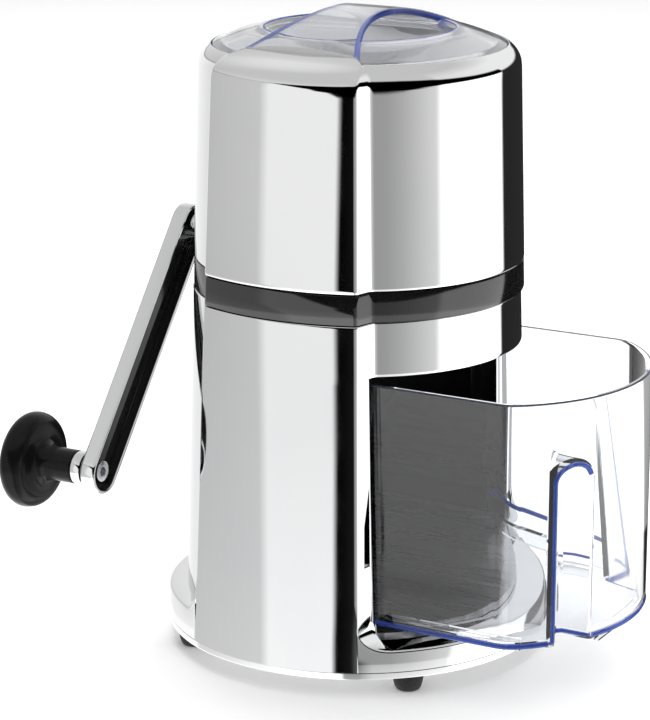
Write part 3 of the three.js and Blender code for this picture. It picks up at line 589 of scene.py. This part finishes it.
def lid():
    """Dome and bridge in one, cut where the cheeks' tips stand; the cut faces have the third material,
    opaque pale plastic as painted light that makes the lid's ends look lit.
    """
    # The third material paints the cut end faces pale: painted light standing in for light seen through the
    # lid's clear ends.
    materials = (HAZY, BLUE, HOPPER)
    upper = lid_profile()
    under = [(53.4, 232.2), (52.9, 233.3), (46, 236.2), (40.5, 238.1), (37.2, 238.2), (34.9, 237.6)]
    under += [(34.6 - 14.6 * t, 237.5 - 9.8 * math.sin(t * math.pi / 2)) for t in between(0.05, 1, 12)]
    dome = solid("lid_dome", turn_z(under[::-1] + upper, segments=128), *materials)
    bridge = Builder()
    rows = []
    for x in between(-46.4, 46.4, 65):
        half, high = bridge_size(x)
        low = high - 3.0
        rows.append([(x, -half + 0.4, low), (x, half - 0.4, low), (x, half, low + 0.5),
                     (x, half, high - 0.5), (x, half - 0.45, high - 0.08), (x, half / 2, high),
                     (x, 0, high), (x, -half / 2, high), (x, -half + 0.45, high - 0.08),
                     (x, -half, high - 0.5), (x, -half, low + 0.5)])
    bridge.rows(rows, wrap=True)
    bridge.face(rows[0][::-1])
    bridge.face(rows[-1])
    width = len(rows[0])
    blue_columns = (2, 9)  # the bridge's two upright sides
    bridge.slots = [1 if i % width in blue_columns and i < width * (len(rows) - 1) else 0
                    for i in range(len(bridge.slots))]
    whole = combine(dome, bridge.build("lid_bridge", *materials), "UNION")
    plan = [(46.4, 24.1), (49.9, 28.75), (72, 30.8), (72, -30.8), (49.9, -28.75), (46.4, -24.1)]
    # Slot 2 gives the cut faces the pale material, painted light on the lid's ends.
    for side in (1, -1):
        rows = [[(side * x, y, z) for x, y in plan] for z in (200, 260)]
        whole = combine(whole, solid("tongue", rows, *materials, slot=2), "DIFFERENCE")
    whole.name = "clear_lid"
    smooth(whole.data, 30)
    return whole


def lid_edges():
    """The blue-tinted edges of the bridge and of the dish."""
    shape = Builder()
    for side in (1, -1):
        path = []
        for x in between(-45.6, 45.6, 60):
            half, high = bridge_size(x)
            path.append((x, side * (half - 0.7), high - 1.8))
        bead(shape, path, [0.8 + 0.5 * abs(x / 46.2) ** 3 for x, _, _ in path])
    rim = [(37.5 * math.cos(a), 37.5 * math.sin(a)) for a in between(0, 2 * math.pi, 97)]
    bead(shape, [(x, y, 240.55) for x, y in rim], 0.3)
    return shape.build("lid_blue_edges", BLUE)


# ---------------------------------------------------------------- drawer
FRONT_CENTRE_Y, FRONT_RADIUS = -55.2, 66  # of the drawer's curved front
NOTCH_NEAR, NOTCH_FAR, NOTCH_TOP = 27, 41, 89  # a finger notch's inner and outer x, and its top


def drawer_front_y(x):
    return FRONT_CENTRE_Y - math.sqrt(FRONT_RADIUS ** 2 - x * x)


def drawer_outline(depth, z):
    """Plan of the drawer at one height, depth inside its surface."""
    half, back = 54.5 - depth, 40 - depth
    back_corner, front_corner, front = 22 - depth, 15 - depth, FRONT_RADIUS - depth
    reach, corner_x = front - front_corner, half - front_corner
    corner_y = FRONT_CENTRE_Y - math.sqrt(reach ** 2 - corner_x ** 2)
    corner = math.acos(corner_x / reach)
    loop = []

    def arc(cx, cy, radius, start, end, count):
        for a in between(start, end, count):
            loop.append((cx + radius * math.cos(a), cy + radius * math.sin(a), z))

    arc(half - back_corner, back - back_corner, back_corner, 0, math.pi / 2, 18)
    arc(-half + back_corner, back - back_corner, back_corner, math.pi / 2, math.pi, 18)
    arc(-corner_x, corner_y, front_corner, math.pi, math.pi + corner, 14)
    arc(0, FRONT_CENTRE_Y, front, math.pi + corner, 2 * math.pi - corner, 70)
    arc(corner_x, corner_y, front_corner, 2 * math.pi - corner, 2 * math.pi, 14)
    return loop


def prism(name, levels, *materials):
    """The drawer's outline over several (depth, z) levels."""
    return solid(name, [drawer_outline(depth, z) for depth, z in levels], *materials)


def notch(side, grow, *materials):
    """Space of a finger notch: its plan extruded upright, cut by an arched outline."""
    near, far = NOTCH_NEAR - grow, NOTCH_FAR + grow
    plan = [(far, -130), (far, -106.2 + grow), (near + 2.5, -101.2 + grow), (near + 0.8, -101.6 + grow),
            (near, -103.5 + grow), (near, -130)]
    upright = solid("notch", [[(side * x, y, z) for x, y in plan] for z in (-5, 110)], *materials)
    radius = (far - near) / 2
    middle, spring = (near + far) / 2, NOTCH_TOP + grow - radius
    outline = [(near, 0), (far, 0)]
    outline += [(middle + radius * math.cos(a), spring + radius * math.sin(a))
                for a in between(0, math.pi, 24)]
    arch = solid("arch", [[(side * x, y, z) for x, z in outline] for y in (-135, -90)], *materials)
    return combine(upright, arch, "INTERSECT")


def ice_drawer():
    materials = (CLEAR, BLUE)
    outer = [(1.6, 17.9), (0.6, 18.3), (0.1, 19.2), (0, 20.2), (0, 113.5), (0.2, 114.0), (0.6, 114.3)]
    body = prism("drawer_body", outer, *materials)
    inner = [(4.3, 20.2), (2.9, 20.7), (2.4, 21.9), (2.3, 23.2), (2.3, 113.5), (2.05, 114.0),
             (1.7, 114.35), (1.7, 118)]
    body = combine(body, prism("hollow", inner, *materials), "DIFFERENCE")
    for side in (1, -1):
        pocket = notch(side, WALL, *materials)
        inside = prism("inside", [(0.02, 17.92), (0.02, 114.2)], *materials)
        pocket = combine(pocket, inside, "INTERSECT")
        body = combine(body, pocket, "UNION")
    for side in (1, -1):
        body = combine(body, notch(side, 0, *materials), "DIFFERENCE")
    for x0, x1, y0, y1 in ((42.5, 44.5, -94, 26), (-44.5, -42.5, -94, 26), (-20, 20, -116, -114)):
        rows = [[(x0, y0, z), (x1, y0, z), (x1, y1, z), (x0, y1, z)] for z in (15, 18.4)]
        body = combine(body, solid("rib", rows, *materials), "UNION")
    body.name = "clear_drawer"
    smooth(body.data, 32)
    return body


def drawer_edges():
    """The drawer's blue-tinted edges, round its floor and each finger notch, and its smoky rim."""
    shape = Builder()
    near, far = NOTCH_NEAR, NOTCH_FAR
    radius = (far - near) / 2
    spring, floor_z = NOTCH_TOP - radius, 19.2
    for side in (1, -1):
        path = [(side * far, drawer_front_y(far) + 0.9, z) for z in between(19.5, spring, 24)]
        for a in between(0, 0.9 * math.pi, 16)[1:]:
            x = (near + far) / 2 + radius * math.cos(a)
            path.append((side * x, drawer_front_y(x) + 0.9, spring + radius * math.sin(a)))
        bead(shape, path, 1.0)
    outline = [p for p in drawer_outline(0.9, floor_z) if p[1] < -30]
    outline.sort(key=lambda p: (p[0], -p[1] if p[0] < 0 else p[1]))
    outline = [(-53.6, -30, floor_z)] + outline + [(53.6, -30, floor_z)]
    left = [p for p in outline if p[0] < -far]
    middle = [p for p in outline if abs(p[0]) < near - 0.3]
    right = [p for p in outline if p[0] > far]
    for run in (left, middle, right):
        bead(shape, run, 1.2)
    for side in (1, -1):
        plan = [(near - 0.6, drawer_front_y(near) + 1.0), (near - 0.6, -103.4), (near + 2.0, -100.6),
                (far + 0.2, -105.4)]
        bead(shape, [(side * x, y, floor_z) for x, y in plan], 0.9)
    rim = drawer_outline(0.5, 113.95)
    shape.rows(sweep(rim + [rim[0]], 0.4), wrap=True, slot=1)
    return shape.build("drawer_blue_edges", BLUE, SMOKE)


# ---------------------------------------------------------------- crank, knob, feet
def crank_point(along, across, y):
    """A point of the arm: along it from the shaft, across it, and y."""
    x, z = across, -along
    c, s = math.cos(CRANK_ANGLE), math.sin(CRANK_ANGLE)
    return (x * c + z * s, y, SHAFT_Z - x * s + z * c)


def stadium(half, y):
    """The arm's outline with a round end about the shaft and about the knob."""
    points = []
    for centre, first in ((ARM_LENGTH, -math.pi / 2), (0, math.pi / 2)):
        for a in between(first, first + math.pi, 24):
            points.append(crank_point(centre + half * math.cos(a), half * math.sin(a), y))
    return points


def crank_arm():
    shape = Builder()
    outer = [(0.8, 83.0), (7.9, 83.0), (8.55, 82.85), (8.9, 82.4), (9.0, 81.8), (9.0, 77.3), (8.92, 76.7),
             (8.6, 76.35), (8.2, 76.3), (7.8, 76.4), (7.6, 76.8)]
    channel = [(7.6, 76.8), (7.5, 77.6), (7.4, 79.6), (7.1, 80.3), (6.4, 80.6), (3.4, 80.6), (2.6, 80.2),
               (1.6, 80.2), (0.8, 80.2)]
    for slot, profile in enumerate((outer, channel)):
        rows = [stadium(h, y) for h, y in profile]
        shape.rows(rows, wrap=True, slot=slot)
        shape.face(rows[0] if slot == 0 else rows[-1], slot)
    return shape.build("crank_arm_channel", CHROME, BLACK_GLOSS, sharp=40)


def knob(centre):
    profile = [(2.6, 89.5), (6.3, 89.5), (6.7, 89.8), (6.8, 90.4), (6.8, 94), (6.8, 98), (6.9, 101),
               (7.5, 103.3), (9.2, 104.8), (11.6, 105.3), (14.2, 105.5), (16.6, 106.3), (18.4, 108.0),
               (19.3, 110.4), (19.3, 112.6), (18.4, 114.6), (16.6, 116.1), (13.5, 116.8), (7, 116.95),
               (0.01, 117.0)]
    profile = [profile[0]] + refine(profile[1:], 3)
    return lathe("round_knob", turn_y(profile, centre, 96), KNOB_BLACK)


def ring_y(name, radius, bore, low, high, centre, material, edge=0.35):
    profile = [(bore, low), (radius - edge, low), (radius - 0.1, low + 0.1), (radius, low + edge),
               (radius, high - edge), (radius - 0.1, high - 0.1), (radius - edge, high), (bore, high),
               (bore, low)]
    return lathe(name, turn_y(profile, centre), material)


def knob_screw(centre):
    """A cap screw with a hexagon socket, its head sunk in the arm's channel."""
    profile = [(2.1, 102.4, False), (2.1, 80.6, False), (3.9, 80.6, False), (4.25, 80.3, False),
               (4.3, 80.0, False), (4.3, 78.3, False), (4.15, 77.85, False), (3.8, 77.7, False),
               (2.25, 77.7, True), (2.1, 77.85, True), (2.1, 79.7, True), (0.01, 79.7, True)]
    angles = [2 * math.pi * i / 48 for i in range(48)]
    rows = []
    for radius, y, six_sided in profile:
        row = []
        for a in angles:
            flat = math.cos(math.pi / 6) / math.cos(a % (math.pi / 3) - math.pi / 6) if six_sided else 1
            out = radius * flat
            row.append((centre[0] + out * math.cos(a), y, centre[1] + out * math.sin(a)))
        rows.append(row)
    return lathe("knob_cap_screw", rows, STEEL, sharp=30)


def foot(x, y):
    profile = [(1.8, 0.3), (6.2, 0.3), (6.3, -0.2), (6.1, -2.2), (5.7, -4.4), (5.2, -6.2), (4.6, -7.1),
               (3.9, FLOOR_Z), (3.6, FLOOR_Z), (3.6, -4.9), (1.8, -4.9), (1.8, 0.3)]
    return turn_z(profile, (x, y), 40)


# ---------------------------------------------------------------- assembly
install(lower_housing(), "housing", "chrome", "lower_housing")
install(lower_lining(), "housing", "black_matt", "lower_housing")
install(base_ring(-1, 11.5, 10, 63.5, True), "housing", "chrome", "lower_housing")
install(base_ring(1, 14.2, 6, 66.5, False), "housing", "chrome", "lower_housing")
install(base_plate(), "housing", "chrome", "base_plate")
install(bore(middle_band(), True), "housing", "black_gloss", "middle_band")
install(bore(upper_housing(), False), "housing", "chrome", "upper_housing")
install(lid(), "lid", "clear_plastic", "lid")
install(lid_edges(), "lid", "clear_plastic")
install(ice_drawer(), "drawer", "clear_plastic", "ice_drawer")
install(drawer_edges(), "drawer", "clear_plastic")

shaft_axis = (0, SHAFT_Z)
knob_x, _, knob_z = crank_point(ARM_LENGTH, 0, 0)
knob_axis = (knob_x, knob_z)
install(crank_arm(), "crank", "chrome", "crank_arm")
install(ring_y("crank_hub_tube", 6.3, 4.3, 52, 80.4, shaft_axis, CHROME), "crank", "chrome", "crank_hub")
install(ring_y("crank_collar_ring", 9, 6.5, 61.5, 68, shaft_axis, CHROME, 0.8), "housing", "chrome",
        "crank_collar")
install(ring_y("knob_washer_ring", 6.4, 2.3, 83.3, 84.7, knob_axis, BLACK_MATT), "crank", "black_matt",
        "knob_washer")
install(ring_y("knob_ferrule_ring", 6.8, 2.3, 85, 89.1, knob_axis, CHROME, 0.6), "crank", "chrome",
        "knob_ferrule")
install(knob_screw(knob_axis), "crank", "steel", "knob_screw")
install(knob(knob_axis), "knob", "black_gloss", "knob")
bolt = [(0.01, 83.3), (5.0, 83.3), (5.3, 83.6), (5.3, 84.6), (4.9, 85.4), (3.9, 86.0), (2.4, 86.3),
        (0.01, 86.3)]
install(lathe("crank_bolt_head", turn_y(bolt, shaft_axis), CHROME), "crank", "chrome", "crank_bolt")

for name in ("front_left", "front_right", "rear_right", "rear_left"):
    low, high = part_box("foot_" + name)
    centre = ((low + high) / 2) / MM
    piece = lathe("rubber_foot_" + name, foot(centre.x, centre.y), RUBBER)
    install(piece, "housing", "rubber", "foot_" + name)

for name in ("clear_lid", "clear_drawer", "lid_blue_edges", "drawer_blue_edges"):
    bpy.data.objects[name].visible_shadow = False  # light passes through clear plastic
for name in ("clear_drawer", "drawer_blue_edges"):
    bpy.data.objects[name].visible_glossy = False  # the chrome mirrors the studio, not the drawer

slots = {entry["node"]: entry["material_slot"] for entry in frame["record"]["subparts"]}
for node, piece in frame["nodes"].items():
    piece.data.materials.clear()
    piece.data.materials.append(SLOT_MATERIALS[slots[node]])


# ---------------------------------------------------------------- stage, light and camera
def floor():
    shape = Builder()
    reach = between(-9000, 9000, 3)
    shape.rows([[(x, y, FLOOR_Z) for x in reach] for y in reach])
    material, tree, shader = principled("pale_floor")
    tint(tree, shader, noise(tree, 0.6), (0.9,) * 3, (0.93,) * 3)
    shader.inputs["Roughness"].default_value = 0.8
    shader.inputs["Emission Color"].default_value = (1, 1, 1, 1)
    shader.inputs["Emission Strength"].default_value = 0.17
    piece = shape.build("floor", material)
    piece.visible_glossy = False


# The studio all round: degrees from image right towards the camera, brightness of the wall, the heights
# between which it is dark, and brightness of the ceiling. A height is the z of a direction of length 1.
STUDIO = [(0, 1.35, 0.04, 0.26, 0.85), (31, 1.35, 0.0, 0.36, 0.75), (36, 0.72, -0.02, 0.4, 0.6),
          (60, 0.45, -0.08, 0.48, 0.58), (82, 0.27, -0.1, 0.5, 0.58), (90, 0.008, -0.1, 0.5, 0.58),
          (99, 0.0, -0.1, 0.5, 0.6), (101, 0.9, -0.1, 0.48, 0.66), (139, 0.9, 0.4, 0.45, 0.7),
          (145, 0.6, 0.45, 0.45, 0.72), (203, 0.5, 0.45, 0.45, 0.56), (206, 0.75, 0.3, 0.3, 0.52),
          (246, 0.95, 0.08, 0.08, 0.65), (268, 1.1, 0.08, 0.08, 0.85), (272, 0.027, 0.08, 0.08, 0.9),
          (331, 0.02, 0.08, 0.1, 0.9), (333, 1.35, 0.04, 0.2, 0.9), (360, 1.35, 0.04, 0.26, 0.85)]


def studio():
    """A world whose light depends on its direction; camera rays see plain white instead."""
    world = bpy.data.worlds.new("studio")
    bpy.context.scene.world = world
    world.use_nodes = True
    tree = world.node_tree

    def feed(socket, value):
        if isinstance(value, (int, float)):
            socket.default_value = value
        else:
            tree.links.new(value, socket)

    def math_node(operation, a, b=0.0):
        node = tree.nodes.new("ShaderNodeMath")
        node.operation = operation
        feed(node.inputs[0], a)
        feed(node.inputs[1], b)
        return node.outputs[0]

    def fade(value, start, end, low=0.0, high=1.0):
        node = tree.nodes.new("ShaderNodeMapRange")
        feed(node.inputs["Value"], value)
        feed(node.inputs["From Min"], start)
        feed(node.inputs["From Max"], end)
        feed(node.inputs["To Min"], low)
        feed(node.inputs["To Max"], high)
        return node.outputs["Result"]

    coords = tree.nodes.new("ShaderNodeTexCoord")
    split = tree.nodes.new("ShaderNodeSeparateXYZ")
    tree.links.new(coords.outputs["Generated"], split.inputs["Vector"])
    east, north, height = split.outputs["X"], split.outputs["Y"], split.outputs["Z"]
    right = math_node("SUBTRACT", math_node("MULTIPLY", east, VIEW_NORTH),
                      math_node("MULTIPLY", north, VIEW_EAST))
    near = math_node("ADD", math_node("MULTIPLY", east, -VIEW_EAST),
                     math_node("MULTIPLY", north, -VIEW_NORTH))
    turn = math_node("DIVIDE", math_node("ARCTAN2", near, right), 2 * math.pi)
    turn = math_node("FRACT", math_node("ADD", turn, 1.0))
    cheek = math_node("MULTIPLY", fade(turn, 0.2, 0.245), fade(turn, 0.66, 0.56))
    lean = math_node("MULTIPLY", fade(height, -0.35, -0.16, 0, 0.036), cheek)
    turn = math_node("SUBTRACT", turn, lean)
    ramp = tree.nodes.new("ShaderNodeValToRGB")
    stops = ramp.color_ramp.elements
    for index, (degrees, wall, low, high, ceiling) in enumerate(STUDIO):
        stop = stops[index] if index < 2 else stops.new(degrees / 360)
        stop.position = degrees / 360
        stop.color = (wall, low + 0.5, high + 0.5, ceiling)
    tree.links.new(turn, ramp.inputs["Fac"])
    bands = tree.nodes.new("ShaderNodeSeparateColor")
    tree.links.new(ramp.outputs["Color"], bands.inputs["Color"])
    low = math_node("SUBTRACT", bands.outputs["Green"], 0.5)
    high = math_node("SUBTRACT", bands.outputs["Blue"], 0.5)
    floor_glow = math_node("ADD", 1.0, math_node("MULTIPLY", fade(height, -0.2, -0.36, 0, 0.3), cheek))
    floor_glow = math_node("ADD", floor_glow, fade(height, -0.335, -0.352, 0, 0.15))
    wall = math_node("MULTIPLY", bands.outputs["Red"], floor_glow)
    wall = math_node("ADD", wall, fade(height, -0.364, -0.372, 0, 0.5))
    wall = math_node("MULTIPLY", wall, fade(height, low, math_node("ADD", low, 0.03), 1, 0))
    overhead = fade(height, 0.55, 0.8)
    ceiling = math_node("MULTIPLY", ramp.outputs["Alpha"], math_node("SUBTRACT", 1.0, overhead))
    ceiling = math_node("ADD", ceiling, math_node("MULTIPLY", overhead, 0.58))
    ceiling = math_node("MULTIPLY", ceiling, fade(height, high, math_node("ADD", high, 0.06)))
    level = math_node("ADD", wall, ceiling)
    path = tree.nodes.new("ShaderNodeLightPath")
    seen = math_node("MAXIMUM", level, path.outputs["Is Camera Ray"])
    grey = tree.nodes.new("ShaderNodeCombineColor")
    for channel in ("Red", "Green", "Blue"):
        feed(grey.inputs[channel], seen)
    tree.links.new(grey.outputs["Color"], tree.nodes["Background"].inputs["Color"])


def area_light(name, place, target, size, power):
    light = bpy.data.lights.new(name, "AREA")
    light.shape = "RECTANGLE"
    light.size, light.size_y = size
    light.energy = power
    lamp = bpy.data.objects.new(name, light)
    bpy.context.scene.collection.objects.link(lamp)
    lamp.location = place
    lamp.rotation_euler = (Vector(target) - Vector(place)).to_track_quat("-Z", "Y").to_euler()
    lamp.visible_camera = False
    lamp.visible_glossy = False
    lamp.visible_transmission = False


def camera():
    data = bpy.data.cameras.new("camera")
    view = bpy.data.objects.new("camera", data)
    bpy.context.scene.collection.objects.link(view)
    pitch = 0.2676
    view.location = (-0.95496, -0.52003, 0.40452)
    forward = Vector((VIEW_EAST * math.cos(pitch), VIEW_NORTH * math.cos(pitch), -math.sin(pitch)))
    view.rotation_euler = forward.to_track_quat("-Z", "Y").to_euler()
    data.sensor_width = 36
    data.lens = 140.76
    data.clip_start = 0.01
    data.clip_end = 100
    bpy.context.scene.camera = view


floor()
studio()
area_light("key_light", (0.5, 0.3, 1.5), (0, 0, 0), (1.5, 1.5), 24)
area_light("fill_light", (-0.6, -0.9, 1.5), (0, 0, 0.1), (1.4, 1.4), 7)
camera()
bpy.context.scene.view_settings.view_transform = "Standard"
